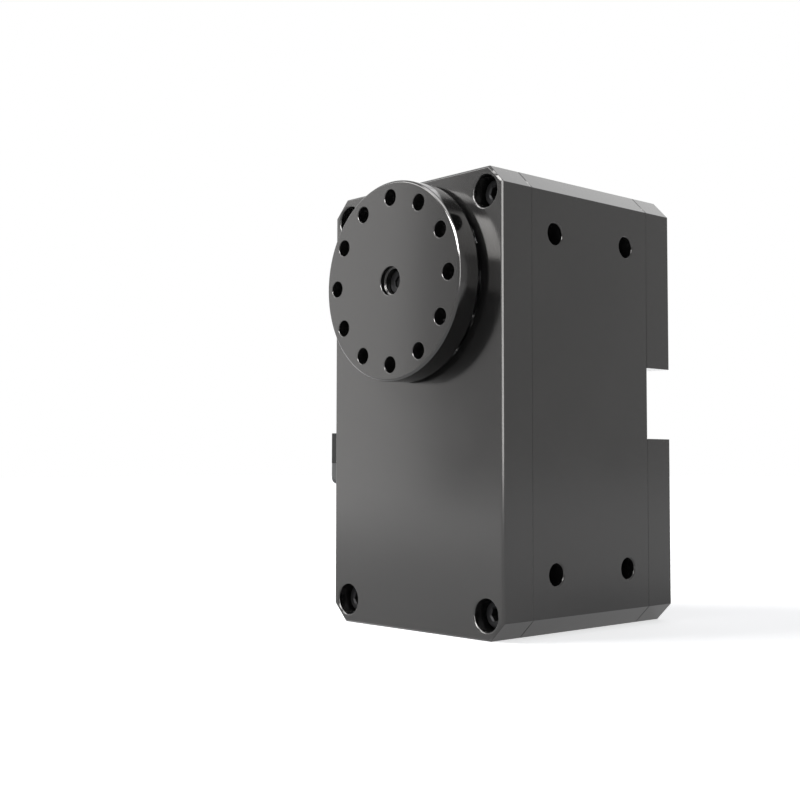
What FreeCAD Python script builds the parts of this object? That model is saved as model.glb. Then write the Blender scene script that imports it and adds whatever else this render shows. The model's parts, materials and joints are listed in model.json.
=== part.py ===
"""Geared joint actuator: a tall octagonal metal case with a drilled output disc near its top.

Origin: the output axis at the front face of the output disc. +Z is up and +Y runs into the case.
All sizes are in millimetres. Every piece is one node, written to parts/NODE.step.
"""
import FreeCAD, Part
import math
import os

Vec = FreeCAD.Vector

# ---- Case ---------------------------------------------------------------------------------
CASE_WIDTH = 50.0
CASE_HEIGHT = 90.0
CASE_CHAMFER = 3.6  # 45 degree flats on the four long edges
AXIS_FROM_TOP = 20.5  # output axis below the top face
MOTOR_HEIGHT = 20.5  # motor axis above the bottom face
FRONT_COVER_DEPTH = 8.2
MIDDLE_CASE_DEPTH = 35.6
REAR_COVER_DEPTH = 8.0
CHANNEL_BOTTOM = 38.5  # open channel across the back, above the bottom face
CHANNEL_SEAT_DEPTH = 0.1  # machined seat along the channel's floor
CHANNEL_SEAT_INSET = 0.3  # from the covers on both sides of it
EDGE_BREAK = 0.4  # front and rear outer edges
SEAM_BREAK = 0.12  # edges where two case pieces meet
HOLE_BREAK = 0.25  # mouths of counterbores and mounting holes

# ---- Screws -------------------------------------------------------------------------------
SCREW_RADIUS = 1.5  # M3
SCREW_HEAD_RADIUS = 2.75
SCREW_HEAD_HEIGHT = 3.0
SCREW_BITE = 5.0  # length held in the tapped piece
HEAD_CLEARANCE = 0.35  # counterbore wall beyond the head
SHANK_CLEARANCE = 0.2
THREAD_CLEARANCE = 0.02
SOCKET_SHARE = 0.5  # hexagon socket radius as a share of the head radius
FRONT_HEAD_SINK = 5.7  # depth of the corner counterbores
REAR_HEAD_SINK = 3.4
CORNER_FROM_SIDE = 4.6
CORNER_FROM_END = 4.8
SMALL_SCREW_RADIUS = 1.0  # M2, on the boards
SMALL_HEAD_RADIUS = 1.8
SMALL_HEAD_HEIGHT = 0.8
SMALL_SCREW_BITE = 3.0

# ---- Side mounting holes ------------------------------------------------------------------
SIDE_HOLE_RADIUS = 2.1  # tapping size for M5
SIDE_HOLE_DEPTH = 5.0
SIDE_SPACING_DEPTH = 22.0
SIDE_SPACING_HEIGHT = 66.4

# ---- Output disc --------------------------------------------------------------------------
HORN_RADIUS = 20.0
HORN_THICKNESS = 5.2
HORN_GAP = 1.0  # between the disc and the front cover
HORN_CHAMFER = 0.4
HORN_HOLE_COUNT = 12
HORN_HOLE_RADIUS = 1.65  # tapping size for M4
HORN_HOLE_CIRCLE = 16.7  # radius of the hole circle
CENTRE_MOUTH_RADIUS = 2.9
CENTRE_MOUTH_DEPTH = 1.1
CENTRE_BORE_RADIUS = 2.55
CENTRE_BORE_DEPTH = 3.3
CENTRE_HEAD_HEIGHT = 1.0
CENTRE_SCREW_RADIUS = 1.25
CENTRE_SCREW_LENGTH = 9.0

# ---- Output shaft and bearings ------------------------------------------------------------
RECESS_RADIUS = 19.2
RECESS_DEPTH = 1.3
FRONT_BEARING_OUTER = 18.5
FRONT_BEARING_BORE = 15.0
FRONT_BEARING_WIDTH = 4.0
LIP_THICKNESS = 1.5  # holds the front bearing from behind
LIP_WIDTH = 1.5
FLANGE_STEP = 0.9  # shaft flange beyond the bearing bore
NECK_STEP = 0.4  # neck behind the disc, below the bearing bore
END_PLAY = 0.05  # between the turning shoulders and the bearings
SERRATION_OUTER = 6.0
SERRATION_INNER = 5.4
SERRATION_TEETH = 18
SERRATION_DEPTH = 1.2
GEAR_SEAT_RADIUS = 7.0
GEAR_SHOULDER = 2.0  # step in front of the output gear
REAR_JOURNAL_RADIUS = 4.0
REAR_BEARING_OUTER = 8.0
REAR_BEARING_WIDTH = 4.0
SPACER_WALL = 1.2
KEY_WIDTH = 2.0
KEY_HEIGHT = 2.0
SEAT_CLEARANCE = 0.01  # pressed and slid-on seats
RUN_CLEARANCE = 0.05  # radial clearance of a turning fit
PART_GAP = 0.4  # side clearance between turning pieces

# ---- Gear train ---------------------------------------------------------------------------
PRESSURE_ANGLE = math.radians(25)
ADDENDUM = 1.0  # in modules
DEDENDUM = 1.2  # in modules
BACKLASH = 0.12  # at the pitch circle
PINION_TEETH = 12
FIRST_MODULE, FIRST_TEETH, FIRST_WIDTH = 0.5, 50, 3.0
SECOND_MODULE, SECOND_TEETH, SECOND_WIDTH = 0.6, 44, 4.0
OUTPUT_MODULE, OUTPUT_TEETH, OUTPUT_WIDTH = 1.0, 30, 6.0
FIRST_WHEEL_CLEARANCE = 0.7  # to the right wall of the gear room
SECOND_WHEEL_CLEARANCE = 1.44  # to its left wall
PIN_RADIUS = 1.5
PIN_SEAT = 2.4
PIN_SEAT_FLOOR = 0.3  # between a pin's front end and the front bearing
HUB_RADIUS = 2.4

# ---- Inside of the case -------------------------------------------------------------------
SIDE_WALL = 5.8  # outside the gear room
GEAR_ROOM_FLOOR = 4.0  # wall below the gear room
GEAR_ROOM_ROOF = 3.0  # wall above it
GEAR_ROOM_CORNER = 9.0
WEB_THICKNESS = 3.0  # between the gear room and the motor
SEAL_WIDTH = 1.2
SEAL_DEPTH = 1.0
BOARD_SIDE_WALL = 8.0  # outside the board room
BOARD_ROOM_WALL = 3.0  # to the channel and to the top
BOARD_ROOM_CORNER = 4.0
BOARD_LEDGE = 3.6
BOARD_ROOM_DEPTH = 6.0  # from the rear seam to the board's ledge
COVER_WALL = 2.0

# ---- Motor --------------------------------------------------------------------------------
MOTOR_RADIUS = 15.0
MOTOR_CLEARANCE = 0.2
CAN_WALL = 1.2
CAN_FRONT = 2.5
CAP_THICKNESS = 2.0
MOTOR_BOSS_RADIUS = 4.5
MOTOR_BOSS_HEIGHT = 1.5
MOTOR_SHAFT_RADIUS = 1.5
MOTOR_BEARING_RADIUS = 4.0
MOTOR_BEARING_WIDTH = 2.5
AIR_GAP = 0.5
STATOR_TOOTH_LENGTH = 3.3
STATOR_TEETH = 9
STATOR_TOOTH_WIDTH = 2.4
STATOR_RING = 2.2
COIL_WIDTH = 4.8
COIL_END = 1.3
COIL_ROOM = 1.95  # between the coils and the can's two ends
MOTOR_SCREW_RADIUS = 1.25
MOTOR_SCREW_HEAD = 2.3
MOTOR_SCREW_SINK = 1.3
MOTOR_SCREW_CIRCLE = 10.0

# ---- Boards -------------------------------------------------------------------------------
BOARD_THICKNESS = 1.6
BOARD_CLEARANCE = 0.3
ENCODER_BOARD_SIZE = 17.6
ENCODER_BOARD_THICKNESS = 1.0
ENCODER_BOARD_CLEARANCE = 0.7
ENCODER_RAIL_HEIGHT = 2.4
ENCODER_RAIL_WIDTH = 3.0
ENCODER_MAGNET_RADIUS = 3.0
ENCODER_MAGNET_HEIGHT = 2.2
ENCODER_MAGNET_SINK = 1.2
ENCODER_CHIP_SIZE = 5.0
ENCODER_CHIP_HEIGHT = 0.9
DRIVER_CHIP_SIZE = 5.0
DRIVER_CHIP_HEIGHT = 1.1
CAPACITOR_RADIUS = 4.0
CAPACITOR_HEIGHT = 7.5
SENSOR_BOARD_RADIUS = 11.0
SENSOR_BOARD_BORE = 3.5
SENSOR_BOSS_HEIGHT = 0.8
SENSOR_CLEARANCE = 0.8  # behind the sensor board's screws

# ---- Connectors on the left side ----------------------------------------------------------
CONNECTOR_REACH = 12.0  # beyond the case's left face
CONNECTOR_FROM_SEAM = 0.4
CONNECTOR_THICKNESS = 7.8
CONNECTOR_BOTTOM = 28.8  # above the bottom face
SIGNAL_HEIGHT = 4.6
POWER_HEIGHT = 6.8
CONNECTOR_NECK_INSET = 1.4
CONNECTOR_CORNER = 1.4
CONTACT_RADIUS = 1.0
CONTACT_SOCKET_RADIUS = 1.6
CONTACT_SOCKET_DEPTH = 6.0

# ---- Places worked out from the sizes -----------------------------------------------------
HALF_WIDTH = CASE_WIDTH / 2
AXIS_HEIGHT = CASE_HEIGHT - AXIS_FROM_TOP
BOTTOM = -AXIS_HEIGHT
TOP = BOTTOM + CASE_HEIGHT
FRONT = HORN_THICKNESS + HORN_GAP
SEAM = FRONT + FRONT_COVER_DEPTH
REAR_SEAM = SEAM + MIDDLE_CASE_DEPTH
REAR = REAR_SEAM + REAR_COVER_DEPTH
CHANNEL_LOW = BOTTOM + CHANNEL_BOTTOM
BOARD_LOW = -ENCODER_BOARD_SIZE / 2 - ENCODER_BOARD_CLEARANCE - BOARD_LEDGE
CHANNEL_HIGH = BOARD_LOW - BOARD_ROOM_WALL
COVER_POCKET_BACK = REAR - COVER_WALL
GEAR_ROOM_HALF_WIDTH = HALF_WIDTH - SIDE_WALL
BOARD_ROOM_HALF_WIDTH = HALF_WIDTH - BOARD_SIDE_WALL

BEARING_FRONT = FRONT + RECESS_DEPTH
BEARING_BACK = BEARING_FRONT + FRONT_BEARING_WIDTH
ROOM_FRONT = BEARING_BACK + LIP_THICKNESS  # floor of the pocket in the front cover
OUTPUT_LAYER = ROOM_FRONT + PART_GAP
SECOND_LAYER = OUTPUT_LAYER + OUTPUT_WIDTH + PART_GAP
FIRST_LAYER = SECOND_LAYER + SECOND_WIDTH + PART_GAP
WEB_FRONT = FIRST_LAYER + FIRST_WIDTH + PART_GAP
MOTOR_FRONT = WEB_FRONT + WEB_THICKNESS
SENSOR_BOARD_BACK = COVER_POCKET_BACK - SENSOR_CLEARANCE - SMALL_HEAD_HEIGHT
SENSOR_BOARD_FRONT = SENSOR_BOARD_BACK - ENCODER_BOARD_THICKNESS
MOTOR_BACK = SENSOR_BOARD_FRONT - SENSOR_BOSS_HEIGHT
FRONT_PIN_SEAT = LIP_THICKNESS - PIN_SEAT_FLOOR
REAR_BEARING_BACK = WEB_FRONT + REAR_BEARING_WIDTH
BOARD_ROOM_FRONT = REAR_BEARING_BACK + LIP_THICKNESS
BOARD_SEAT = REAR_SEAM - BOARD_ROOM_DEPTH
SHAFT_END = BOARD_ROOM_FRONT - PART_GAP
ENCODER_BOARD_FRONT = BOARD_ROOM_FRONT + ENCODER_RAIL_HEIGHT
ROOM_LOW = BOTTOM + GEAR_ROOM_FLOOR
ROOM_HIGH = TOP - GEAR_ROOM_ROOF
BOARD_HIGH = TOP - BOARD_ROOM_WALL

OUTPUT_AXIS = (0.0, 0.0)
MOTOR_AXIS = (0.0, BOTTOM + MOTOR_HEIGHT)


def centre_distance(module, teeth):
    return module * (PINION_TEETH + teeth) / 2


def drop(distance, across):
    """Height between two centres that far apart, one of them set across from the other."""
    return math.sqrt(max(0.0, distance**2 - across**2))


def gear_train(scale):
    """The two idler pins and the motor's depth below the output axis, at a scale of the modules."""
    first_tip = scale * FIRST_MODULE * (FIRST_TEETH / 2 + ADDENDUM)
    second_tip = scale * SECOND_MODULE * (SECOND_TEETH / 2 + ADDENDUM)
    first_x = GEAR_ROOM_HALF_WIDTH - FIRST_WHEEL_CLEARANCE - first_tip
    second_x = SECOND_WHEEL_CLEARANCE + second_tip - GEAR_ROOM_HALF_WIDTH
    output_reach = scale * centre_distance(OUTPUT_MODULE, OUTPUT_TEETH)
    second_reach = scale * centre_distance(SECOND_MODULE, SECOND_TEETH)
    first_reach = scale * centre_distance(FIRST_MODULE, FIRST_TEETH)
    second_z = -drop(output_reach, second_x)
    first_z = second_z - drop(second_reach, first_x - second_x)
    return (first_x, first_z), (second_x, second_z), drop(first_reach, first_x) - first_z


def module_scale():
    """Scale of the modules at which the train just reaches the motor, about 1 at the real size."""
    low, high = 0.0, 2.0
    for _ in range(60):
        middle = (low + high) / 2
        if gear_train(middle)[2] < -MOTOR_AXIS[1]:
            low = middle
        else:
            high = middle
    return high


MODULE_SCALE = module_scale()
FIRST_PIN, SECOND_PIN, _ = gear_train(MODULE_SCALE)


# ---- Shapes -------------------------------------------------------------------------------
def box(x_range, y_range, z_range):
    size = [high - low for low, high in (x_range, y_range, z_range)]
    return Part.makeBox(*size, Vec(x_range[0], y_range[0], z_range[0]))


def rod(radius, y_low, y_high, centre=OUTPUT_AXIS):
    """Round bar along Y."""
    start = Vec(centre[0], y_low, centre[1])
    return Part.makeCylinder(radius, y_high - y_low, start, Vec(0, 1, 0))


def tube(outer, inner, y_low, y_high, centre=OUTPUT_AXIS):
    return rod(outer, y_low, y_high, centre).cut(rod(inner, y_low, y_high, centre))


def cone(low_radius, high_radius, y_low, y_high, centre=OUTPUT_AXIS):
    start = Vec(centre[0], y_low, centre[1])
    return Part.makeCone(low_radius, high_radius, y_high - y_low, start, Vec(0, 1, 0))


def prism(points, y_low, y_high):
    """Straight bar along Y with the given (x, z) outline."""
    corners = [Vec(x, y_low, z) for x, z in points + points[:1]]
    face = Part.Face(Part.makePolygon(corners))
    return face.extrude(Vec(0, y_high - y_low, 0))


def stepped_rod(steps, centre=OUTPUT_AXIS):
    """Round bars end to end: each step is (radius, y_low, y_high)."""
    bars = [rod(*step, centre) for step in steps]
    return bars[0].fuse(bars[1:]).removeSplitter()


def rounded_slab(half_width, z_range, corner, y_low, y_high):
    slab = box((-half_width, half_width), (y_low, y_high), z_range)
    upright = [e for e in slab.Edges if abs(e.tangentAt(e.FirstParameter).y) > 0.99]
    return slab.makeFillet(corner, upright)


def in_plane(edge, y):
    box_of_edge = edge.BoundBox
    return abs(box_of_edge.YMin - y) < 1e-6 and abs(box_of_edge.YMax - y) < 1e-6


def break_edges(solid, y, size):
    """Chamfer the edges that lie in the plane at y."""
    return solid.makeChamfer(size, [e for e in solid.Edges if in_plane(e, y)])


def case_outline(low, high):
    """Outline of the case between two heights, with its flats at the bottom and top corners."""
    right = []
    if low == BOTTOM:
        right += [(HALF_WIDTH - CASE_CHAMFER, low), (HALF_WIDTH, low + CASE_CHAMFER)]
    else:
        right += [(HALF_WIDTH, low)]
    if high == TOP:
        right += [(HALF_WIDTH, high - CASE_CHAMFER), (HALF_WIDTH - CASE_CHAMFER, high)]
    else:
        right += [(HALF_WIDTH, high)]
    return right + [(-x, z) for x, z in reversed(right)]


def case_block(y_low, y_high, low_break, high_break, low=BOTTOM, high=TOP):
    block = prism(case_outline(low, high), y_low, y_high)
    return break_edges(break_edges(block, y_low, low_break), y_high, high_break)


def hexagon(radius, centre):
    corners = [math.radians(60 * i) for i in range(6)]
    return [
        (centre[0] + radius * math.cos(a), centre[1] + radius * math.sin(a))
        for a in corners
    ]


def star(outer, inner, teeth):
    """Outline of a serrated boss or socket."""
    step = math.pi / teeth
    radii = [outer if i % 2 == 0 else inner for i in range(2 * teeth)]
    return [(r * math.cos(i * step), r * math.sin(i * step)) for i, r in enumerate(radii)]


def socket_screw(centre, seat, tip, radius, head_radius, head_height):
    """Socket-head screw; its head rests on the plane y = seat and its shank runs on to tip."""
    way = 1 if tip > seat else -1
    head_end = seat - way * head_height
    head = rod(head_radius, min(seat, head_end), max(seat, head_end), centre)
    shank = rod(radius, min(seat, tip), max(seat, tip), centre)
    floor = head_end + way * head_height * 0.6
    outline = hexagon(head_radius * SOCKET_SHARE, centre)
    socket = prism(outline, min(head_end, floor), max(head_end, floor))
    return head.fuse(shank).cut(socket)


# ---- Gears --------------------------------------------------------------------------------
def involute(angle):
    return math.tan(angle) - angle


def flank_angle(radius, pitch, module):
    """Half the tooth's angle at a radius, on an involute flank with backlash taken off."""
    base = pitch * math.cos(PRESSURE_ANGLE)
    thickness = math.pi * module / 2 - BACKLASH / 2
    lean = involute(math.acos(min(1.0, base / radius)))
    return thickness / (2 * pitch) + involute(PRESSURE_ANGLE) - lean


def spur_gear(teeth, module, centre, tooth_at, y_low, y_high):
    """Solid involute gear with one tooth centred at the angle tooth_at in the XZ plane."""
    pitch = teeth * module / 2
    tip = pitch + ADDENDUM * module
    root = pitch - DEDENDUM * module
    start = max(pitch * math.cos(PRESSURE_ANGLE), root)
    radii = (start, (start + tip) / 2, tip)

    def at(radius, angle):
        x = centre[0] + radius * math.cos(angle)
        return Vec(x, y_low, centre[1] + radius * math.sin(angle))

    edges = []
    for i in range(teeth):
        middle = tooth_at + 2 * math.pi * i / teeth
        after = middle + 2 * math.pi / teeth
        lean = [flank_angle(r, pitch, module) for r in radii]
        rise = [at(r, middle - a) for r, a in zip(radii, lean)]
        fall = [at(r, middle + a) for r, a in zip(reversed(radii), reversed(lean))]
        edges.append(Part.Arc(*rise).toShape())
        edges.append(Part.makeLine(rise[-1], fall[0]))
        edges.append(Part.Arc(*fall).toShape())
        foot, next_foot = at(root, middle + lean[0]), at(root, after - lean[0])
        if start > root:
            edges.append(Part.makeLine(fall[-1], foot))
            edges.append(Part.makeLine(foot, next_foot))
            edges.append(Part.makeLine(next_foot, at(start, after - lean[0])))
        else:
            edges.append(Part.makeLine(fall[-1], at(start, after - lean[0])))
    face = Part.Face(Part.Wire(edges))
    return face.extrude(Vec(0, y_high - y_low, 0))


def direction(start, end):
    return math.atan2(end[1] - start[1], end[0] - start[0])


def pinion(module, centre, mate, y_low, y_high):
    """Twelve-tooth pinion with a tooth on the line to its mate."""
    tooth_at = direction(centre, mate)
    return spur_gear(PINION_TEETH, module * MODULE_SCALE, centre, tooth_at, y_low, y_high)


def wheel(teeth, module, centre, mate, y_low, y_high):
    """Wheel with a gap on the line to its mate."""
    tooth_at = direction(centre, mate) + math.pi / teeth
    return spur_gear(teeth, module * MODULE_SCALE, centre, tooth_at, y_low, y_high)


# ---- Case screws' places ------------------------------------------------------------------
SCREW_X = HALF_WIDTH - CORNER_FROM_SIDE
CORNERS = [
    (side * SCREW_X, z)
    for side in (-1, 1)
    for z in (BOTTOM + CORNER_FROM_END, TOP - CORNER_FROM_END)
]
LOWER_COVER_SCREWS = [(side * SCREW_X, CHANNEL_LOW - CORNER_FROM_END) for side in (-1, 1)]
UPPER_COVER_SCREWS = [(side * SCREW_X, CHANNEL_HIGH + CORNER_FROM_END) for side in (-1, 1)]
COUNTERBORE_RADIUS = SCREW_HEAD_RADIUS + HEAD_CLEARANCE
SIDE_HOLES = [
    (SEAM + MIDDLE_CASE_DEPTH / 2 + i * SIDE_SPACING_DEPTH / 2,
     BOTTOM + CASE_HEIGHT / 2 + j * SIDE_SPACING_HEIGHT / 2)
    for i in (-1, 1)
    for j in (-1, 1)
]


def counterbore(centre, face, seat):
    """Head pocket from an outer face down to the head's seat, with a broken mouth."""
    low, high = min(face, seat), max(face, seat)
    pocket = rod(COUNTERBORE_RADIUS, low, high, centre)
    wide = COUNTERBORE_RADIUS + HOLE_BREAK
    if face < seat:
        mouth = cone(wide, COUNTERBORE_RADIUS, face, face + HOLE_BREAK, centre)
    else:
        mouth = cone(COUNTERBORE_RADIUS, wide, face - HOLE_BREAK, face, centre)
    return pocket.fuse(mouth)


def gear_room(y_low, y_high, grow=0.0):
    return rounded_slab(
        GEAR_ROOM_HALF_WIDTH + grow,
        (ROOM_LOW - grow, ROOM_HIGH + grow),
        GEAR_ROOM_CORNER + grow,
        y_low,
        y_high,
    )


def board_room(y_low, y_high, grow=0.0):
    return rounded_slab(
        BOARD_ROOM_HALF_WIDTH + grow,
        (BOARD_LOW - grow, BOARD_HIGH + grow),
        BOARD_ROOM_CORNER + grow,
        y_low,
        y_high,
    )


# ---- Case pieces --------------------------------------------------------------------------
def front_cover():
    cover = case_block(FRONT, SEAM, EDGE_BREAK, SEAM_BREAK)
    cuts = [
        rod(RECESS_RADIUS, FRONT, BEARING_FRONT),
        rod(FRONT_BEARING_OUTER + SEAT_CLEARANCE, BEARING_FRONT, BEARING_BACK),
        rod(FRONT_BEARING_OUTER - LIP_WIDTH, BEARING_BACK, ROOM_FRONT),
        gear_room(ROOM_FRONT, SEAM),
    ]
    for pin in (FIRST_PIN, SECOND_PIN):
        cuts.append(rod(PIN_RADIUS + SEAT_CLEARANCE, ROOM_FRONT - FRONT_PIN_SEAT, ROOM_FRONT, pin))
    seat = FRONT + FRONT_HEAD_SINK
    for corner in CORNERS:
        cuts.append(counterbore(corner, FRONT, seat))
        cuts.append(rod(SCREW_RADIUS + SHANK_CLEARANCE, seat, SEAM, corner))
    return cover.cut(cuts)


def side_hole(side, y, z):
    """Blind mounting hole from a side face, with a broken mouth."""
    inward = Vec(-side, 0, 0)
    mouth = Vec(side * HALF_WIDTH, y, z)
    bore = Part.makeCylinder(SIDE_HOLE_RADIUS, SIDE_HOLE_DEPTH, mouth, inward)
    wide = SIDE_HOLE_RADIUS + HOLE_BREAK
    return bore.fuse(Part.makeCone(wide, SIDE_HOLE_RADIUS, HOLE_BREAK, mouth, inward))


def motor_screw_places():
    reach = MOTOR_SCREW_CIRCLE * math.sqrt(0.5)
    return [
        (MOTOR_AXIS[0] + i * reach, MOTOR_AXIS[1] + j * reach)
        for i in (-1, 1)
        for j in (-1, 1)
    ]


def encoder_screw_places():
    reach = (ENCODER_BOARD_SIZE - ENCODER_RAIL_WIDTH) / 2
    return [(-reach, 0.0), (reach, 0.0)]


def board_screw_places():
    """On the middle of the ledge that carries the controller board."""
    x = BOARD_ROOM_HALF_WIDTH - SMALL_HEAD_RADIUS - BOARD_CLEARANCE
    inset = BOARD_ROOM_CORNER + SMALL_HEAD_RADIUS
    return [(i * x, z) for i in (-1, 1) for z in (BOARD_LOW + inset, BOARD_HIGH - inset)]


def connector_neck(grow=0.0):
    """The part of the connectors that passes through the left wall."""
    inset = CONNECTOR_NECK_INSET - grow
    y_low = SEAM + CONNECTOR_FROM_SEAM
    z_low = BOTTOM + CONNECTOR_BOTTOM
    return box(
        (-HALF_WIDTH, -GEAR_ROOM_HALF_WIDTH),
        (y_low + inset, y_low + CONNECTOR_THICKNESS - inset),
        (z_low + inset, z_low + SIGNAL_HEIGHT + POWER_HEIGHT - inset),
    )


def middle_case():
    case = case_block(SEAM, REAR_SEAM, SEAM_BREAK, SEAM_BREAK)
    motor_hole = MOTOR_RADIUS + MOTOR_CLEARANCE
    deep_room = rounded_slab(
        BOARD_ROOM_HALF_WIDTH - BOARD_LEDGE,
        (BOARD_LOW + BOARD_LEDGE, BOARD_HIGH - BOARD_LEDGE),
        BOARD_ROOM_CORNER,
        BOARD_ROOM_FRONT,
        BOARD_SEAT,
    )
    cuts = [
        gear_room(SEAM, WEB_FRONT),
        gear_room(SEAM, SEAM + SEAL_DEPTH, SEAL_WIDTH),
        rod(motor_hole, MOTOR_FRONT, REAR_SEAM, MOTOR_AXIS),
        rod(motor_hole + SEAL_WIDTH, REAR_SEAM - SEAL_DEPTH, REAR_SEAM, MOTOR_AXIS),
        rod(MOTOR_BOSS_RADIUS + RUN_CLEARANCE, WEB_FRONT, MOTOR_FRONT, MOTOR_AXIS),
        rod(REAR_BEARING_OUTER + SEAT_CLEARANCE, WEB_FRONT, REAR_BEARING_BACK),
        rod(REAR_BEARING_OUTER - LIP_WIDTH, REAR_BEARING_BACK, BOARD_ROOM_FRONT),
        deep_room,
        board_room(BOARD_SEAT, REAR_SEAM),
        board_room(REAR_SEAM - SEAL_DEPTH, REAR_SEAM, SEAL_WIDTH),
        connector_neck(SEAT_CLEARANCE),
        channel_seat(),
    ]
    for pin in (FIRST_PIN, SECOND_PIN):
        cuts.append(rod(PIN_RADIUS + SEAT_CLEARANCE, WEB_FRONT, WEB_FRONT + PIN_SEAT, pin))
    for place in motor_screw_places():
        shank = MOTOR_SCREW_RADIUS + THREAD_CLEARANCE
        cuts.append(rod(shank, WEB_FRONT, MOTOR_FRONT, place))
        wide = MOTOR_SCREW_HEAD + THREAD_CLEARANCE
        cuts.append(cone(wide, shank, WEB_FRONT, WEB_FRONT + MOTOR_SCREW_SINK, place))
    for corner in CORNERS:
        cuts.append(rod(SCREW_RADIUS + SHANK_CLEARANCE, SEAM, REAR_SEAM, corner))
    for place in LOWER_COVER_SCREWS + UPPER_COVER_SCREWS:
        tapped = SCREW_RADIUS + THREAD_CLEARANCE
        cuts.append(rod(tapped, REAR_SEAM - SCREW_BITE, REAR_SEAM, place))
    for place in board_screw_places():
        tapped = SMALL_SCREW_RADIUS + THREAD_CLEARANCE
        cuts.append(rod(tapped, BOARD_SEAT - SMALL_SCREW_BITE, BOARD_SEAT, place))
    for side in (-1, 1):
        cuts += [side_hole(side, y, z) for y, z in SIDE_HOLES]
    return case.cut(cuts).fuse(encoder_rails()).removeSplitter()


def channel_seat():
    """Shallow seat across the middle case's rear face, between the two rear covers."""
    z_range = (CHANNEL_LOW + CHANNEL_SEAT_INSET, CHANNEL_HIGH - CHANNEL_SEAT_INSET)
    return box((-HALF_WIDTH, HALF_WIDTH), (REAR_SEAM - CHANNEL_SEAT_DEPTH, REAR_SEAM), z_range)


def encoder_rails():
    """Two rails on the board room's floor, tapped for the encoder board's screws."""
    half = ENCODER_BOARD_SIZE / 2
    rails = []
    for x, z in encoder_screw_places():
        x_range = (x - ENCODER_RAIL_WIDTH / 2, x + ENCODER_RAIL_WIDTH / 2)
        rail = box(x_range, (BOARD_ROOM_FRONT, ENCODER_BOARD_FRONT), (-half, half))
        tapped = SMALL_SCREW_RADIUS + THREAD_CLEARANCE
        rails.append(rail.cut(rod(tapped, BOARD_ROOM_FRONT, ENCODER_BOARD_FRONT, (x, z))))
    return rails


def rear_cover(low, high, pocket, screws, corners):
    """One of the two rear blocks, with its inner pocket, its own screws and the long screws' holes."""
    cover = case_block(REAR_SEAM, REAR, SEAM_BREAK, EDGE_BREAK, low, high)
    cuts = [pocket]
    for place in screws:
        seat = REAR - REAR_HEAD_SINK
        cuts.append(counterbore(place, REAR, seat))
        cuts.append(rod(SCREW_RADIUS + SHANK_CLEARANCE, REAR_SEAM, seat, place))
    for corner in corners:
        tapped = SCREW_RADIUS + THREAD_CLEARANCE
        cuts.append(rod(tapped, REAR_SEAM, REAR_SEAM + SCREW_BITE, corner))
    return cover.cut(cuts)


def case_pieces():
    lower_corners = [c for c in CORNERS if c[1] < CHANNEL_LOW]
    upper_corners = [c for c in CORNERS if c[1] > CHANNEL_HIGH]
    motor_pocket = rod(MOTOR_RADIUS + MOTOR_CLEARANCE, REAR_SEAM, COVER_POCKET_BACK, MOTOR_AXIS)
    return {
        "front_cover": front_cover(),
        "middle_case": middle_case(),
        "lower_rear_cover": rear_cover(
            BOTTOM, CHANNEL_LOW, motor_pocket, LOWER_COVER_SCREWS, lower_corners
        ),
        "upper_rear_cover": rear_cover(
            CHANNEL_HIGH, TOP, board_room(REAR_SEAM, COVER_POCKET_BACK),
            UPPER_COVER_SCREWS, upper_corners,
        ),
    }


def seals():
    front_end = SEAM + SEAL_DEPTH
    rear_start = REAR_SEAM - SEAL_DEPTH
    motor_hole = MOTOR_RADIUS + MOTOR_CLEARANCE
    return {
        "front_seal": gear_room(SEAM, front_end, SEAL_WIDTH).cut(gear_room(SEAM, front_end)),
        "upper_rear_seal": board_room(rear_start, REAR_SEAM, SEAL_WIDTH).cut(
            board_room(rear_start, REAR_SEAM)
        ),
        "lower_rear_seal": tube(
            motor_hole + SEAL_WIDTH, motor_hole, rear_start, REAR_SEAM, MOTOR_AXIS
        ),
    }


def case_screws():
    head = (SCREW_RADIUS, SCREW_HEAD_RADIUS, SCREW_HEAD_HEIGHT)
    front_seat, front_tip = FRONT + FRONT_HEAD_SINK, REAR_SEAM + SCREW_BITE
    rear_seat, rear_tip = REAR - REAR_HEAD_SINK, REAR_SEAM - SCREW_BITE
    long_screws = [socket_screw(c, front_seat, front_tip, *head) for c in CORNERS]
    lower = [socket_screw(c, rear_seat, rear_tip, *head) for c in LOWER_COVER_SCREWS]
    upper = [socket_screw(c, rear_seat, rear_tip, *head) for c in UPPER_COVER_SCREWS]
    return {
        "long_case_screws": Part.Compound(long_screws),
        "lower_cover_screws": Part.Compound(lower),
        "upper_cover_screws": Part.Compound(upper),
    }


# ---- Output: disc, shaft, bearings, gear --------------------------------------------------
def output_horn():
    disc = rod(HORN_RADIUS, 0, HORN_THICKNESS)
    disc = disc.makeChamfer(
        HORN_CHAMFER, [e for e in disc.Edges if in_plane(e, 0) or in_plane(e, HORN_THICKNESS)]
    )
    cuts = [
        rod(CENTRE_MOUTH_RADIUS, 0, CENTRE_MOUTH_DEPTH),
        rod(CENTRE_BORE_RADIUS, 0, CENTRE_BORE_DEPTH),
        rod(CENTRE_SCREW_RADIUS + SHANK_CLEARANCE, 0, HORN_THICKNESS),
        prism(
            star(SERRATION_OUTER + RUN_CLEARANCE, SERRATION_INNER + RUN_CLEARANCE, SERRATION_TEETH),
            HORN_THICKNESS - SERRATION_DEPTH,
            HORN_THICKNESS,
        ),
    ]
    for i in range(HORN_HOLE_COUNT):
        angle = 2 * math.pi * i / HORN_HOLE_COUNT
        place = (HORN_HOLE_CIRCLE * math.cos(angle), HORN_HOLE_CIRCLE * math.sin(angle))
        cuts.append(rod(HORN_HOLE_RADIUS, 0, HORN_THICKNESS, place))
    return disc.cut(cuts)


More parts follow.
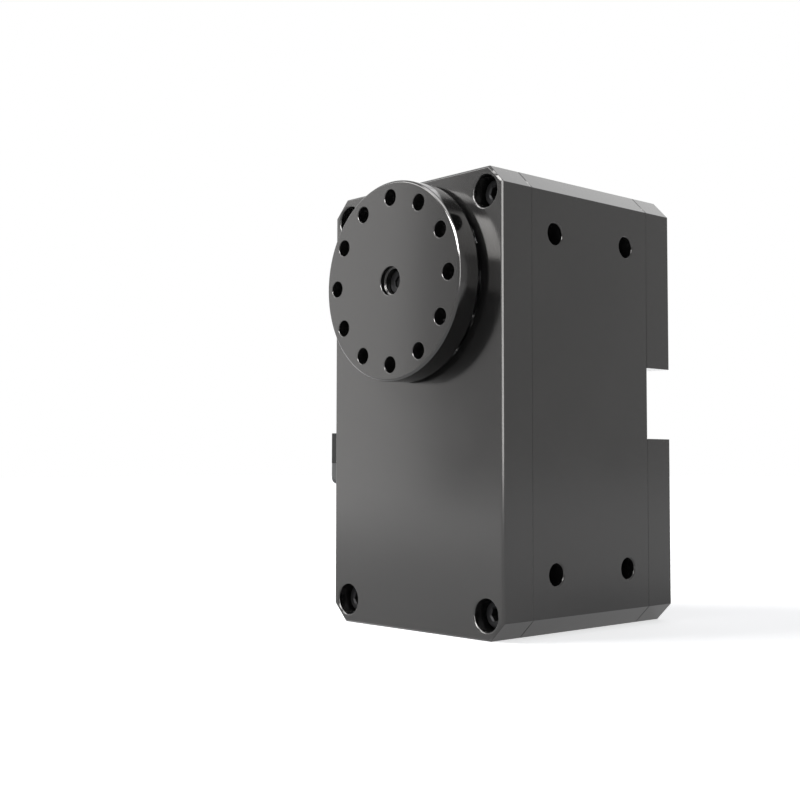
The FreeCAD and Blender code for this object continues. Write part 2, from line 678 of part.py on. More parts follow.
def key_block(clearance=0.0):
    """Key in the gear seat, or its keyway with a clearance."""
    half = KEY_WIDTH / 2 + clearance
    z_range = (
        GEAR_SEAT_RADIUS - KEY_HEIGHT / 2 - clearance,
        GEAR_SEAT_RADIUS + KEY_HEIGHT / 2 + clearance,
    )
    return box((-half, half), (OUTPUT_LAYER, OUTPUT_LAYER + OUTPUT_WIDTH), z_range)


def output_shaft():
    shaft = stepped_rod(
        [
            (FRONT_BEARING_BORE - NECK_STEP, HORN_THICKNESS, FRONT),
            (FRONT_BEARING_BORE + FLANGE_STEP, FRONT, BEARING_FRONT - END_PLAY),
            (FRONT_BEARING_BORE, BEARING_FRONT - END_PLAY, BEARING_BACK),
            (FRONT_BEARING_BORE - LIP_WIDTH, BEARING_BACK, ROOM_FRONT),
            (GEAR_SEAT_RADIUS + GEAR_SHOULDER, ROOM_FRONT, OUTPUT_LAYER),
            (GEAR_SEAT_RADIUS, OUTPUT_LAYER, OUTPUT_LAYER + OUTPUT_WIDTH),
            (REAR_JOURNAL_RADIUS, OUTPUT_LAYER + OUTPUT_WIDTH, SHAFT_END),
        ]
    )
    boss_front = HORN_THICKNESS - SERRATION_DEPTH
    boss = prism(star(SERRATION_OUTER, SERRATION_INNER, SERRATION_TEETH), boss_front, HORN_THICKNESS)
    screw_end = CENTRE_BORE_DEPTH + CENTRE_SCREW_LENGTH
    cuts = [
        rod(CENTRE_SCREW_RADIUS + THREAD_CLEARANCE, boss_front, screw_end),
        rod(ENCODER_MAGNET_RADIUS + SEAT_CLEARANCE, SHAFT_END - ENCODER_MAGNET_SINK, SHAFT_END),
        key_block(SEAT_CLEARANCE),
    ]
    return shaft.fuse(boss).cut(cuts)


def output_pieces():
    gear_back = OUTPUT_LAYER + OUTPUT_WIDTH
    gear = wheel(OUTPUT_TEETH, OUTPUT_MODULE, OUTPUT_AXIS, SECOND_PIN, OUTPUT_LAYER, gear_back)
    gear = gear.cut([rod(GEAR_SEAT_RADIUS + SEAT_CLEARANCE, OUTPUT_LAYER, gear_back),
                     key_block(SEAT_CLEARANCE)])
    spacer_bore = REAR_JOURNAL_RADIUS + SEAT_CLEARANCE
    magnet_front = SHAFT_END - ENCODER_MAGNET_SINK
    return {
        "output_horn": output_horn(),
        "horn_centre_screw": socket_screw(
            OUTPUT_AXIS, CENTRE_BORE_DEPTH, CENTRE_BORE_DEPTH + CENTRE_SCREW_LENGTH,
            CENTRE_SCREW_RADIUS, CENTRE_BORE_RADIUS - RUN_CLEARANCE, CENTRE_HEAD_HEIGHT,
        ),
        "output_shaft": output_shaft(),
        "output_gear": gear,
        "output_gear_key": key_block(),
        "output_spacer": tube(
            spacer_bore + SPACER_WALL, spacer_bore, gear_back, WEB_FRONT - END_PLAY
        ),
        "encoder_magnet": rod(
            ENCODER_MAGNET_RADIUS, magnet_front, magnet_front + ENCODER_MAGNET_HEIGHT
        ),
        "front_bearing": tube(
            FRONT_BEARING_OUTER, FRONT_BEARING_BORE + RUN_CLEARANCE, BEARING_FRONT, BEARING_BACK
        ),
        "rear_bearing": tube(
            REAR_BEARING_OUTER, REAR_JOURNAL_RADIUS + RUN_CLEARANCE, WEB_FRONT, REAR_BEARING_BACK
        ),
    }


# ---- Idlers -------------------------------------------------------------------------------
def idler(name, centre, driver, driven, wheel_sizes, wheel_layer, pinion_module, pinion_layer):
    """A wheel driven by the piece before it, on the hub of the pinion that drives the next."""
    teeth, module, width = wheel_sizes
    bore = PIN_RADIUS + RUN_CLEARANCE
    hub_end = WEB_FRONT - PART_GAP
    pinion_front = pinion_layer - PART_GAP / 4
    small = pinion(pinion_module, centre, driven, pinion_front, wheel_layer)
    hub = rod(HUB_RADIUS, wheel_layer, hub_end, centre)
    large = wheel(teeth, module, centre, driver, wheel_layer, wheel_layer + width)
    seat = rod(HUB_RADIUS + SEAT_CLEARANCE, wheel_layer, wheel_layer + width, centre)
    return {
        name + "_pinion": small.fuse(hub).cut(rod(bore, pinion_front, hub_end, centre)),
        name + "_wheel": large.cut(seat),
        name + "_pin": rod(
            PIN_RADIUS, ROOM_FRONT - FRONT_PIN_SEAT, WEB_FRONT + PIN_SEAT, centre
        ),
    }


def idlers():
    first = idler(
        "first_idler", FIRST_PIN, MOTOR_AXIS, SECOND_PIN,
        (FIRST_TEETH, FIRST_MODULE, FIRST_WIDTH), FIRST_LAYER, SECOND_MODULE, SECOND_LAYER,
    )
    second = idler(
        "second_idler", SECOND_PIN, FIRST_PIN, OUTPUT_AXIS,
        (SECOND_TEETH, SECOND_MODULE, SECOND_WIDTH), SECOND_LAYER, OUTPUT_MODULE, OUTPUT_LAYER,
    )
    return {**first, **second}


# ---- Motor --------------------------------------------------------------------------------
BEARING_LIP = 0.5
CAN_BACK = MOTOR_BACK - CAP_THICKNESS
CAN_INNER = MOTOR_RADIUS - CAN_WALL
FRONT_SEAT = MOTOR_FRONT + BEARING_LIP
REAR_SEAT = MOTOR_BACK - MOTOR_BEARING_WIDTH
STATOR_FRONT = MOTOR_FRONT + CAN_FRONT + COIL_ROOM + COIL_END
STATOR_BACK = CAN_BACK - COIL_ROOM - COIL_END
STATOR_OUTER = CAN_INNER - SEAT_CLEARANCE
STATOR_RING_INNER = STATOR_OUTER - STATOR_RING
TOOTH_TIP = STATOR_RING_INNER - STATOR_TOOTH_LENGTH
MAGNET_RADIUS = TOOTH_TIP - AIR_GAP


def motor_can():
    boss = MOTOR_FRONT - MOTOR_BOSS_HEIGHT
    can = stepped_rod(
        [(MOTOR_BOSS_RADIUS, boss, MOTOR_FRONT), (MOTOR_RADIUS, MOTOR_FRONT, CAN_BACK)],
        MOTOR_AXIS,
    )
    cuts = [
        rod(CAN_INNER, MOTOR_FRONT + CAN_FRONT, CAN_BACK, MOTOR_AXIS),
        rod(MOTOR_SHAFT_RADIUS + SHANK_CLEARANCE, boss, FRONT_SEAT, MOTOR_AXIS),
        rod(
            MOTOR_BEARING_RADIUS + SEAT_CLEARANCE,
            FRONT_SEAT, FRONT_SEAT + MOTOR_BEARING_WIDTH, MOTOR_AXIS,
        ),
    ]
    for place in motor_screw_places():
        tapped = MOTOR_SCREW_RADIUS + THREAD_CLEARANCE
        cuts.append(rod(tapped, MOTOR_FRONT, MOTOR_FRONT + CAN_FRONT, place))
    return can.cut(cuts)


def sensor_screw_places():
    reach = SENSOR_BOARD_RADIUS - SMALL_HEAD_RADIUS - BOARD_CLEARANCE
    angles = [math.radians(90 + 180 * i) for i in range(2)]
    return [
        (MOTOR_AXIS[0] + reach * math.cos(a), MOTOR_AXIS[1] + reach * math.sin(a))
        for a in angles
    ]


def motor_end_cap():
    cap = stepped_rod(
        [
            (CAN_INNER - SEAT_CLEARANCE, CAN_BACK - BEARING_LIP, CAN_BACK),
            (MOTOR_RADIUS, CAN_BACK, MOTOR_BACK),
        ],
        MOTOR_AXIS,
    )
    bosses = [
        rod(SMALL_HEAD_RADIUS, MOTOR_BACK, SENSOR_BOARD_FRONT, place)
        for place in sensor_screw_places()
    ]
    tapped = SMALL_SCREW_RADIUS + THREAD_CLEARANCE
    cuts = [
        rod(tapped, SENSOR_BOARD_FRONT - CAP_THICKNESS, SENSOR_BOARD_FRONT, place)
        for place in sensor_screw_places()
    ]
    seat = MOTOR_BEARING_RADIUS + SEAT_CLEARANCE
    cuts.append(rod(seat, CAN_BACK - BEARING_LIP, MOTOR_BACK, MOTOR_AXIS))
    return cap.fuse(bosses).cut(cuts)


def around_motor(shape, i):
    shape.rotate(Vec(MOTOR_AXIS[0], 0, MOTOR_AXIS[1]), Vec(0, 1, 0), 360 * i / STATOR_TEETH)
    return shape


def stator_tooth(half_width, inner, outer, y_low, y_high):
    """Block standing on the motor axis's upper side, between two radii."""
    x_range = (MOTOR_AXIS[0] - half_width, MOTOR_AXIS[0] + half_width)
    z_range = (MOTOR_AXIS[1] + inner, MOTOR_AXIS[1] + outer)
    return box(x_range, (y_low, y_high), z_range)


def stator():
    ring = tube(STATOR_OUTER, STATOR_RING_INNER, STATOR_FRONT, STATOR_BACK, MOTOR_AXIS)
    half = STATOR_TOOTH_WIDTH / 2
    root = STATOR_RING_INNER + STATOR_RING / 2
    teeth, coils = [], []
    for i in range(STATOR_TEETH):
        tooth = stator_tooth(half, TOOTH_TIP, root, STATOR_FRONT, STATOR_BACK)
        teeth.append(around_motor(tooth, i))
        y_low, y_high = STATOR_FRONT - COIL_END, STATOR_BACK + COIL_END
        inner, outer = TOOTH_TIP + AIR_GAP, STATOR_RING_INNER - AIR_GAP
        coil = stator_tooth(COIL_WIDTH / 2, inner, outer, y_low, y_high)
        window = stator_tooth(half + SEAT_CLEARANCE, inner, outer,
                              STATOR_FRONT - SEAT_CLEARANCE, STATOR_BACK + SEAT_CLEARANCE)
        coils.append(around_motor(coil.cut(window), i))
    return {
        "motor_stator": ring.fuse(teeth).removeSplitter(),
        "motor_windings": Part.Compound(coils),
    }


def motor_pieces():
    shaft_front = FIRST_LAYER - PART_GAP / 4
    pinion_back = FIRST_LAYER + FIRST_WIDTH
    gear = pinion(FIRST_MODULE, MOTOR_AXIS, FIRST_PIN, shaft_front, pinion_back)
    shaft_seat = rod(MOTOR_SHAFT_RADIUS + SEAT_CLEARANCE, shaft_front, pinion_back, MOTOR_AXIS)
    magnet_reach = COIL_END / 2
    bearing_bore = MOTOR_SHAFT_RADIUS + RUN_CLEARANCE
    board = (SENSOR_BOARD_FRONT, SENSOR_BOARD_BACK)
    sensor_board = tube(SENSOR_BOARD_RADIUS, SENSOR_BOARD_BORE, *board, MOTOR_AXIS)
    shank = SMALL_SCREW_RADIUS + THREAD_CLEARANCE
    holes = [rod(shank, *board, place) for place in sensor_screw_places()]
    bearings = {}
    for name, seat in (("motor_front_bearing", FRONT_SEAT), ("motor_rear_bearing", REAR_SEAT)):
        end = seat + MOTOR_BEARING_WIDTH
        bearings[name] = tube(MOTOR_BEARING_RADIUS, bearing_bore, seat, end, MOTOR_AXIS)
    return {
        "motor_can": motor_can(),
        "motor_end_cap": motor_end_cap(),
        **stator(),
        **bearings,
        "motor_shaft": rod(
            MOTOR_SHAFT_RADIUS, shaft_front, MOTOR_BACK + SENSOR_BOSS_HEIGHT / 2, MOTOR_AXIS
        ),
        "rotor_magnet": tube(
            MAGNET_RADIUS, MOTOR_SHAFT_RADIUS + SEAT_CLEARANCE,
            STATOR_FRONT - magnet_reach, STATOR_BACK + magnet_reach, MOTOR_AXIS,
        ),
        "motor_pinion": gear.cut(shaft_seat),
        "motor_screws": Part.Compound([motor_screw(p) for p in motor_screw_places()]),
        "motor_sensor_board": sensor_board.cut(holes),
        "sensor_board_screws": Part.Compound(
            [small_screw(p, SENSOR_BOARD_BACK, -1, CAP_THICKNESS) for p in sensor_screw_places()]
        ),
    }


def motor_screw(place):
    """Countersunk screw from the gear room into the motor's front wall."""
    head = cone(MOTOR_SCREW_HEAD, MOTOR_SCREW_RADIUS, WEB_FRONT, WEB_FRONT + MOTOR_SCREW_SINK, place)
    return head.fuse(rod(MOTOR_SCREW_RADIUS, WEB_FRONT, MOTOR_FRONT + CAN_FRONT, place))


def small_screw(place, seat, way, bite):
    """Pan-head board screw; way is +1 when its shank runs towards +Y."""
    through = ENCODER_BOARD_THICKNESS + bite - SENSOR_BOSS_HEIGHT / 2
    head_end, tip = seat - way * SMALL_HEAD_HEIGHT, seat + way * through
    head = rod(SMALL_HEAD_RADIUS, min(seat, head_end), max(seat, head_end), place)
    return head.fuse(rod(SMALL_SCREW_RADIUS, min(seat, tip), max(seat, tip), place))


# ---- Electronics --------------------------------------------------------------------------
def boards():
    half = ENCODER_BOARD_SIZE / 2
    encoder_back = ENCODER_BOARD_FRONT + ENCODER_BOARD_THICKNESS
    shank = SMALL_SCREW_RADIUS + THREAD_CLEARANCE
    encoder_board = box((-half, half), (ENCODER_BOARD_FRONT, encoder_back), (-half, half))
    encoder_holes = [
        rod(shank, ENCODER_BOARD_FRONT, encoder_back, place) for place in encoder_screw_places()
    ]
    chip_half = ENCODER_CHIP_SIZE / 2
    chip_front = ENCODER_BOARD_FRONT - ENCODER_CHIP_HEIGHT
    board_back = BOARD_SEAT + BOARD_THICKNESS
    controller = board_room(BOARD_SEAT, board_back, -BOARD_CLEARANCE)
    holes = [rod(shank, BOARD_SEAT, board_back, place) for place in board_screw_places()]
    chip_step = 1.6 * DRIVER_CHIP_SIZE
    middle = (BOARD_LOW + BOARD_HIGH) / 2
    chips = []
    for i in (-1, 0, 1):
        for j in (-1, 1):
            x, z = i * chip_step, middle + (j * chip_step - chip_step) / 2
            chips.append(box((x - DRIVER_CHIP_SIZE / 2, x + DRIVER_CHIP_SIZE / 2),
                             (board_back, board_back + DRIVER_CHIP_HEIGHT),
                             (z - DRIVER_CHIP_SIZE / 2, z + DRIVER_CHIP_SIZE / 2)))
    capacitors = []
    for i in (-1, 1):
        place = (i * 1.3 * CAPACITOR_RADIUS, BOARD_HIGH - BOARD_CLEARANCE - 1.3 * CAPACITOR_RADIUS)
        capacitors.append(rod(CAPACITOR_RADIUS, board_back, board_back + CAPACITOR_HEIGHT, place))
    return {
        "encoder_board": encoder_board.cut(encoder_holes),
        "encoder_chip": box((-chip_half, chip_half), (chip_front, ENCODER_BOARD_FRONT),
                            (-chip_half, chip_half)),
        "encoder_board_screws": Part.Compound(
            [small_screw(p, encoder_back, -1, ENCODER_RAIL_HEIGHT) for p in encoder_screw_places()]
        ),
        "controller_board": controller.cut(holes),
        "driver_chips": Part.Compound(chips),
        "board_capacitors": Part.Compound(capacitors),
        "controller_board_screws": Part.Compound(
            [small_screw(p, board_back, -1, SMALL_SCREW_BITE) for p in board_screw_places()]
        ),
    }


# ---- Connectors ---------------------------------------------------------------------------
def connectors():
    x_range = (-HALF_WIDTH - CONNECTOR_REACH, -HALF_WIDTH)
    y_low = SEAM + CONNECTOR_FROM_SEAM
    y_range = (y_low, y_low + CONNECTOR_THICKNESS)
    low = BOTTOM + CONNECTOR_BOTTOM
    split, high = low + SIGNAL_HEIGHT, low + SIGNAL_HEIGHT + POWER_HEIGHT
    neck = connector_neck()
    everything = (y_low, y_low + CONNECTOR_THICKNESS)
    neck_x = (-HALF_WIDTH, -GEAR_ROOM_HALF_WIDTH)

    signal = box(x_range, y_range, (low, split))
    along = [
        e for e in signal.Edges
        if abs(e.tangentAt(e.FirstParameter).x) > 0.99 and abs(e.BoundBox.ZMin - low) < 1e-6
    ]
    signal = signal.makeFillet(CONNECTOR_CORNER, along)
    signal = signal.fuse(neck.common(box(neck_x, everything, (low, split))))
    power = box(x_range, y_range, (split, high))
    power = power.fuse(neck.common(box(neck_x, everything, (split, high))))

    mouth = x_range[0]
    middle_y = y_low + CONNECTOR_THICKNESS / 2
    power_z, signal_z = split + POWER_HEIGHT / 2, low + SIGNAL_HEIGHT / 2
    pitch = CONNECTOR_THICKNESS / 2
    contacts = []
    for i in (-1, 1):
        start = Vec(mouth, middle_y + i * pitch / 2, power_z)
        power = power.cut(
            Part.makeCylinder(CONTACT_SOCKET_RADIUS, CONTACT_SOCKET_DEPTH, start, Vec(1, 0, 0))
        )
        root = Vec(mouth + CONTACT_SOCKET_DEPTH, start.y, start.z)
        contacts.append(
            Part.makeCylinder(CONTACT_RADIUS, CONTACT_SOCKET_DEPTH - 1, root, Vec(-1, 0, 0))
        )
    slot = box((mouth, mouth + CONTACT_SOCKET_DEPTH),
               (y_low + CONNECTOR_CORNER, y_range[1] - CONNECTOR_CORNER),
               (signal_z - CONTACT_RADIUS, signal_z + CONTACT_RADIUS))
    signal = signal.cut(slot)
    pin = CONTACT_RADIUS / 3
    for i in (-1, 0, 1):
        y = middle_y + i * CONTACT_SOCKET_RADIUS
        contacts.append(box((mouth + 1, mouth + CONTACT_SOCKET_DEPTH),
                            (y - pin, y + pin), (signal_z - pin, signal_z + pin)))
    return {
        "power_connector": power.removeSplitter(),
        "signal_connector": signal.removeSplitter(),
        "connector_contacts": Part.Compound(contacts),
    }


# ---- Build --------------------------------------------------------------------------------
def build():
    return {
        **case_pieces(),
        **seals(),
        **case_screws(),
        **output_pieces(),
        **idlers(),
        **motor_pieces(),
        **boards(),
        **connectors(),
    }


os.makedirs("parts", exist_ok=True)
for node, shape in build().items():
    shape.exportStep("parts/" + node + ".step")
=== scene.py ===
"""Looks of the joint actuator: satin case, drilled disc, screws, connectors and insides."""
import json
import math

import bmesh
import bpy
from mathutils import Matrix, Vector

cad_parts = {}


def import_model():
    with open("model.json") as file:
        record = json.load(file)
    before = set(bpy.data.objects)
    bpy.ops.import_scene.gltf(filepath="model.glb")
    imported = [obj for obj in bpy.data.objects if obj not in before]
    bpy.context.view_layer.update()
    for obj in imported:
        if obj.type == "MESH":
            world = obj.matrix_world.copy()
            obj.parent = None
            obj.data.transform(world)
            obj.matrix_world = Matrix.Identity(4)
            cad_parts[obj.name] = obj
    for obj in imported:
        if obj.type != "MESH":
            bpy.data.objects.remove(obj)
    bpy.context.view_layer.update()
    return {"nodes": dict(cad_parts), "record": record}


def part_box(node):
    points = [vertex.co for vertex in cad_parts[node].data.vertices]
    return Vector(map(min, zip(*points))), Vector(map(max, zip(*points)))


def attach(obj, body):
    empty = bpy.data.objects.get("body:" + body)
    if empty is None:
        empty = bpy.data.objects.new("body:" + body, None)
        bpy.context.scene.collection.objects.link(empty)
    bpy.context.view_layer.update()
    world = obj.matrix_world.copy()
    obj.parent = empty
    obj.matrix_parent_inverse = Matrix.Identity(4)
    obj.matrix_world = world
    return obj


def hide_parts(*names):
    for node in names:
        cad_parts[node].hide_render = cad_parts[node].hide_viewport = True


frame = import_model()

MM = 0.001
NODES = frame["nodes"]
RECORD = frame["record"]
BODY_OF = {n: body for body, names in RECORD["behaviour"]["bodies"].items() for n in names}
SLOT_OF = {row["node"]: row["material_slot"] for row in RECORD["subparts"]}


# ---- Node helpers -------------------------------------------------------------------------
NOISE_LOW, NOISE_HIGH = 0.3, 0.7  # the range that a noise mostly keeps to
NOISE_ROUGHNESS = 0.55


class Wiring:
    """A node tree being wired up: adds nodes and links in one line each."""

    def __init__(self, tree):
        self.tree = tree

    def add(self, kind, inputs=(), **settings):
        """A new node with its settings, then its constant inputs by name or number."""
        node = self.tree.nodes.new(kind)
        for key, value in settings.items():
            setattr(node, key, value)
        for key, value in dict(inputs).items():
            node.inputs[key].default_value = value
        return node

    def link(self, source, target):
        self.tree.links.new(source, target)


class Finish(Wiring):
    """A material being wired up on Object coordinates, with constants on its shader."""

    def __init__(self, name, **constants):
        self.material = bpy.data.materials.new(name)
        self.material.use_nodes = True
        super().__init__(self.material.node_tree)
        self.shader = self.tree.nodes["Principled BSDF"]
        self.place = self.add("ShaderNodeTexCoord").outputs["Object"]
        for key, value in constants.items():
            self.shader.inputs[key.replace("_", " ")].default_value = value

    def drive(self, colour, roughness):
        """Links the pattern's colour and roughness to the shader."""
        self.link(colour, self.shader.inputs["Base Color"])
        self.link(roughness, self.shader.inputs["Roughness"])

    def stretched(self, scale):
        """Object coordinates scaled along each axis."""
        mapping = self.add("ShaderNodeMapping", {"Scale": scale})
        self.link(self.place, mapping.inputs["Vector"])
        return mapping.outputs["Vector"]

    def noise(self, vector, scale, detail=2.0):
        """A noise with scale bumps in a metre."""
        values = {"Scale": scale, "Detail": detail, "Roughness": NOISE_ROUGHNESS}
        node = self.add("ShaderNodeTexNoise", values)
        self.link(vector, node.inputs["Vector"])
        return node.outputs["Fac"]

    def between(self, noise, low, high):
        """A noise remapped to run from low to high."""
        values = {"From Min": NOISE_LOW, "From Max": NOISE_HIGH, "To Min": low, "To Max": high}
        node = self.add("ShaderNodeMapRange", values)
        self.link(noise, node.inputs["Value"])
        return node.outputs["Result"]

    def blend(self, factor, dark, light):
        """A colour from dark to light by a factor."""
        values = {"A": (*dark, 1), "B": (*light, 1)}
        node = self.add("ShaderNodeMix", values, data_type="RGBA")
        self.link(factor, node.inputs["Factor"])
        return node.outputs["Result"]

    def bump(self, height, strength, depth):
        """Relief in the surface, with its full depth in metres."""
        node = self.add("ShaderNodeBump", {"Strength": strength, "Distance": depth})
        self.link(height, node.inputs["Height"])
        self.link(node.outputs["Normal"], self.shader.inputs["Normal"])


# ---- Finishes -----------------------------------------------------------------------------
ANODISED = {"Metallic": 0.75, "IOR": 1.45}
WARMTH = 0.02  # red over green, and green over blue, in the anodised grey
GRAIN_DEPTH = 0.04 * MM
MARK_DEPTH = 0.03 * MM
WIRE_DEPTH = 0.1 * MM
RING_SHARE = 0.12  # depth of the rings on the disc's face, against the marks on its rim


def shade(grey):
    """A faintly warm grey."""
    return (grey * (1 + WARMTH), grey, grey * (1 - WARMTH))


def anodised(name, grey, roughness):
    """Bead-blasted and anodised aluminium: fine grain, faint cloudiness, soft gloss."""
    finish = Finish(name, **ANODISED)
    cloud = finish.noise(finish.place, scale=45.0)
    finish.drive(
        finish.blend(cloud, shade(grey * 0.94), shade(grey * 1.06)),
        finish.between(cloud, roughness - 0.02, roughness + 0.03),
    )
    finish.bump(finish.noise(finish.place, scale=2600.0), 0.05, GRAIN_DEPTH)
    return finish.material


def turned(name, grey, roughness):
    """Anodised aluminium turned on the output axis: rings on its face, marks round its rim."""
    finish = Finish(name, **ANODISED)
    from_axis = finish.add("ShaderNodeVectorMath", operation="LENGTH")
    finish.link(finish.stretched((1, 0, 1)), from_axis.inputs[0])
    rings = finish.noise(from_axis.outputs["Value"], scale=4200.0)
    marks = finish.noise(finish.stretched((0, 1, 0)), scale=5200.0)
    finish.drive(
        finish.blend(rings, shade(grey * 0.97), shade(grey * 1.03)),
        finish.between(marks, roughness - 0.02, roughness + 0.02),
    )
    both = finish.add("ShaderNodeMath", {1: RING_SHARE}, operation="MULTIPLY_ADD")
    finish.link(rings, both.inputs[0])
    finish.link(marks, both.inputs[2])
    finish.bump(both.outputs["Value"], 0.14, GRAIN_DEPTH)
    return finish.material


def metal(name, colour, roughness, streak=(1, 1, 1), streak_scale=900.0, metallic=1.0):
    """Bare or plated metal with tool marks along one direction."""
    finish = Finish(name, Metallic=metallic)
    marks = finish.noise(finish.stretched(streak), streak_scale, detail=3.0)
    finish.drive(
        finish.blend(marks, tuple(0.88 * c for c in colour), colour),
        finish.between(marks, roughness - 0.06, roughness + 0.08),
    )
    finish.bump(marks, 0.12, MARK_DEPTH)
    return finish.material


def plastic(name, colour, roughness, grain=1800.0):
    """Moulded plastic or rubber with a fine spark-eroded texture."""
    finish = Finish(name, Specular_IOR_Level=0.2)
    texture = finish.noise(finish.place, grain)
    finish.drive(
        finish.blend(texture, colour, tuple(1.15 * c for c in colour)),
        finish.between(texture, roughness - 0.05, roughness + 0.05),
    )
    finish.bump(texture, 0.2, GRAIN_DEPTH)
    return finish.material


def circuit_board():
    """Green solder mask over copper tracks."""
    finish = Finish("solder_mask", IOR=1.5)
    tracks = finish.add("ShaderNodeTexBrick", {
        "Scale": 450.0,
        "Color1": (0.01, 0.11, 0.045, 1),
        "Color2": (0.014, 0.15, 0.06, 1),
        "Mortar": (0.02, 0.2, 0.09, 1),
    })
    finish.link(finish.place, tracks.inputs["Vector"])
    fog = finish.noise(finish.place, scale=700.0, detail=3.0)
    finish.drive(tracks.outputs["Color"], finish.between(fog, 0.25, 0.4))
    finish.bump(tracks.outputs["Fac"], 0.1, MARK_DEPTH)
    return finish.material


def copper_winding():
    """Enamelled copper wire laid side by side."""
    finish = Finish("enamelled_copper", Metallic=0.9, Coat_Weight=0.5)
    wires = finish.add("ShaderNodeTexWave", {"Scale": 500.0}, bands_direction="Y")
    finish.link(finish.place, wires.inputs["Vector"])
    tint = finish.noise(finish.place, scale=500.0, detail=3.0)
    finish.drive(
        finish.blend(wires.outputs["Fac"], (0.22, 0.07, 0.02), (0.72, 0.3, 0.12)),
        finish.between(tint, 0.25, 0.38),
    )
    finish.bump(wires.outputs["Fac"], 0.6, WIRE_DEPTH)
    return finish.material


MARKS_ALONG_Y = (1, 0.05, 1)  # scales that draw the tool marks out along Y, or round it
MARKS_ROUND_Y = (0.05, 1, 0.05)
FINISHES = {
    "case_metal": anodised("anodised_case", 0.055, 0.14),
    "disc_metal": turned("anodised_disc", 0.05, 0.12),
    "screw_steel": metal(
        "blackened_screw", (0.016, 0.016, 0.017), 0.5, streak_scale=1500.0, metallic=0.6
    ),
    "gear_steel": metal("hobbed_gear_steel", (0.5, 0.5, 0.51), 0.3, MARKS_ALONG_Y),
    "bearing_steel": metal("ground_bearing_steel", (0.62, 0.62, 0.64), 0.16, (1, 0.1, 1)),
    "motor_steel": metal("turned_motor_steel", (0.42, 0.42, 0.43), 0.3, MARKS_ROUND_Y),
    "stator_steel": metal(
        "stacked_laminations", (0.24, 0.24, 0.25), 0.45, (0.02, 1, 0.02), streak_scale=2500.0
    ),
    "copper_winding": copper_winding(),
    "magnet": metal("plated_magnet", (0.55, 0.55, 0.56), 0.22, streak_scale=300.0),
    "contact_metal": metal("gilt_contact", (0.75, 0.56, 0.24), 0.2),
    "seal_rubber": plastic("seal_rubber", (0.015, 0.015, 0.015), 0.7, 900.0),
    "circuit_board": circuit_board(),
    "chip_plastic": plastic("chip_epoxy", (0.018, 0.018, 0.018), 0.5, 3000.0),
    "capacitor_can": metal("capacitor_can", (0.62, 0.62, 0.62), 0.35, MARKS_ALONG_Y),
    "black_plastic": plastic("black_connector", (0.008, 0.008, 0.008), 0.5),
    "grey_plastic": plastic("grey_connector", (0.10, 0.10, 0.10), 0.5),
}


# ---- Case pieces, disc and connectors: copies with softened edges ---------------------------
SHARP_EDGE = math.radians(35)
FLAT = math.radians(1)  # faces that meet at less are one
WELD = 0.002 * MM
EDGE_BREAKS = {  # width of each piece's softened edges, in millimetres
    "front_cover": 0.12,
    "middle_case": 0.12,
    "upper_rear_cover": 0.12,
    "lower_rear_cover": 0.12,
    "output_horn": 0.14,
    "power_connector": 0.25,
    "signal_connector": 0.25,
}


def welded(node):
    """The node's triangles, joined at their corners."""
    mesh = bmesh.new()
    mesh.from_mesh(NODES[node].data)
    bmesh.ops.remove_doubles(mesh, verts=mesh.verts, dist=WELD)
    return mesh


def closed_copy(node):
    """The node's shape as a closed mesh whose flat faces are whole polygons."""
    mesh = welded(node)
    bmesh.ops.dissolve_limit(mesh, angle_limit=FLAT, verts=mesh.verts, edges=mesh.edges)
    for face in mesh.faces:
        face.smooth = True
    for edge in mesh.edges:
        edge.smooth = edge.is_manifold and edge.calc_face_angle() < SHARP_EDGE
    data = bpy.data.meshes.new(node + "_body")
    mesh.to_mesh(data)
    mesh.free()
    return data


def in_scene(name, data):
    """A new object in the scene, from a mesh, lamp or camera."""
    obj = bpy.data.objects.new(name, data)
    bpy.context.scene.collection.objects.link(obj)
    return obj


def made_plain(piece):
    """Turns a piece's modifiers into plain mesh."""
    graph = bpy.context.evaluated_depsgraph_get()
    mesh = bpy.data.meshes.new_from_object(piece.evaluated_get(graph))
    piece.modifiers.clear()
    piece.data = mesh


def hand_over(piece, node):
    """Gives a piece to the node's body in place of the node, and hides the node."""
    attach(piece, BODY_OF[node])
    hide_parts(node)


def give_finish(mesh, node):
    """Gives a mesh the finish of the node's slot."""
    mesh.materials.clear()
    mesh.materials.append(FINISHES[SLOT_OF[node]])


def soften_edges(node, width):
    """Replaces a node by a copy whose sharp edges are rounded to a width."""
    piece = in_scene(node + "_finished", closed_copy(node))
    weights = piece.data.attributes.new("bevel_weight_edge", "FLOAT", "EDGE")
    for edge in piece.data.edges:
        weights.data[edge.index].value = float(edge.use_edge_sharp)
    bevel = piece.modifiers.new("edge break", "BEVEL")
    bevel.width = width
    bevel.segments = 2
    bevel.limit_method = "WEIGHT"
    bevel.miter_outer = "MITER_ARC"
    bevel.use_clamp_overlap = True
    flatten = piece.modifiers.new("flat faces stay flat", "WEIGHTED_NORMAL")
    flatten.mode = "FACE_AREA"
    flatten.weight = 100
    flatten.keep_sharp = False
    made_plain(piece)
    give_finish(piece.data, node)
    hand_over(piece, node)


